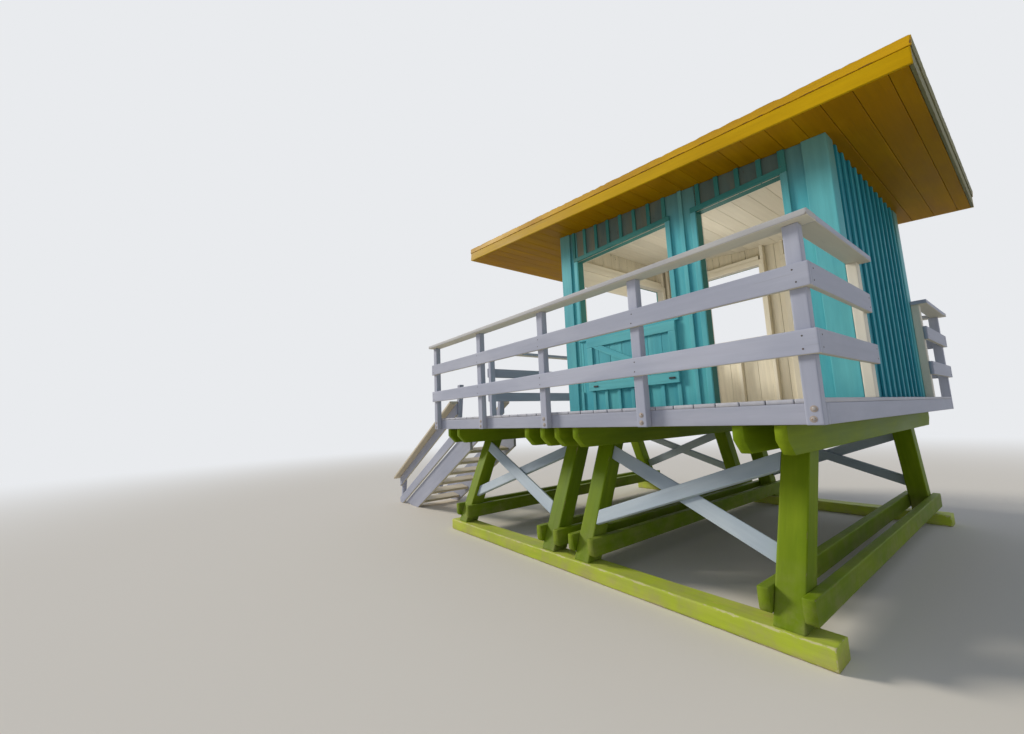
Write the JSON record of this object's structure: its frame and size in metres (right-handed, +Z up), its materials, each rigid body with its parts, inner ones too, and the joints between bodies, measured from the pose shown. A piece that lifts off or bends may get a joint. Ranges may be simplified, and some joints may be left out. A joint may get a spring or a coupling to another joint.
{
  "type": "lifeguard tower",
  "caption": "Boarded lifeguard cabin with a sloping roof, open doorways and windows on a railed deck, raised on braced leaning legs and skids, with a front stair",
  "frame": {"origin": "on the ground, under the middle of the whole object's length and width", "axes": "+Z up, +Y from the stair to the rear, +X to the right of someone who comes up the stair"},
  "size_m": [5.2, 7.93, 4.5156],
  "materials": {
    "base_paint": "lime green paint on sawn timber, worn at the edges",
    "rail_paint": "white paint on planks, scuffed",
    "cabin_paint": "turquoise paint on boards and battens",
    "roof_paint": "golden yellow paint, frayed at the edges"
  },
  "bodies": {
    "root": {"skid_left": "base_paint", "skid_right": "base_paint", "legs_1": "base_paint", "legs_2": "base_paint", "legs_3": "base_paint", "legs_4": "base_paint", "cap_beams_1": "base_paint", "cap_beams_2": "base_paint", "cap_beams_3": "base_paint", "cap_beams_4": "base_paint", "tie_beams_1": "base_paint", "tie_beams_2": "base_paint", "tie_beams_3": "base_paint", "tie_beams_4": "base_paint", "braces_outer": "rail_paint", "braces_inner": "rail_paint", "deck_frame": "rail_paint", "deck_boards": "rail_paint", "rail_posts_right": "rail_paint", "rail_planks_right": "rail_paint", "rail_cap_right": "rail_paint", "rail_posts_left": "rail_paint", "rail_planks_left": "rail_paint", "rail_cap_left": "rail_paint", "rail_front": "rail_paint", "rail_rear_right": "rail_paint", "rail_rear_left": "rail_paint", "stair_stringers": "rail_paint", "stair_treads": "rail_paint", "stair_newels": "rail_paint", "stair_rails": "rail_paint", "wall_front": "cabin_paint", "wall_rear": "cabin_paint", "wall_right_window": "cabin_paint", "wall_right_head": "cabin_paint", "wall_right_rear": "cabin_paint", "wall_left_window": "cabin_paint", "wall_left_head": "cabin_paint", "wall_left_rear": "cabin_paint", "corner_boards": "cabin_paint", "trim_uprights": "cabin_paint", "trim_rails": "cabin_paint", "shutters": "cabin_paint", "roof": "roof_paint", "roof_strip": "roof_paint"}
  },
  "joints": []
}
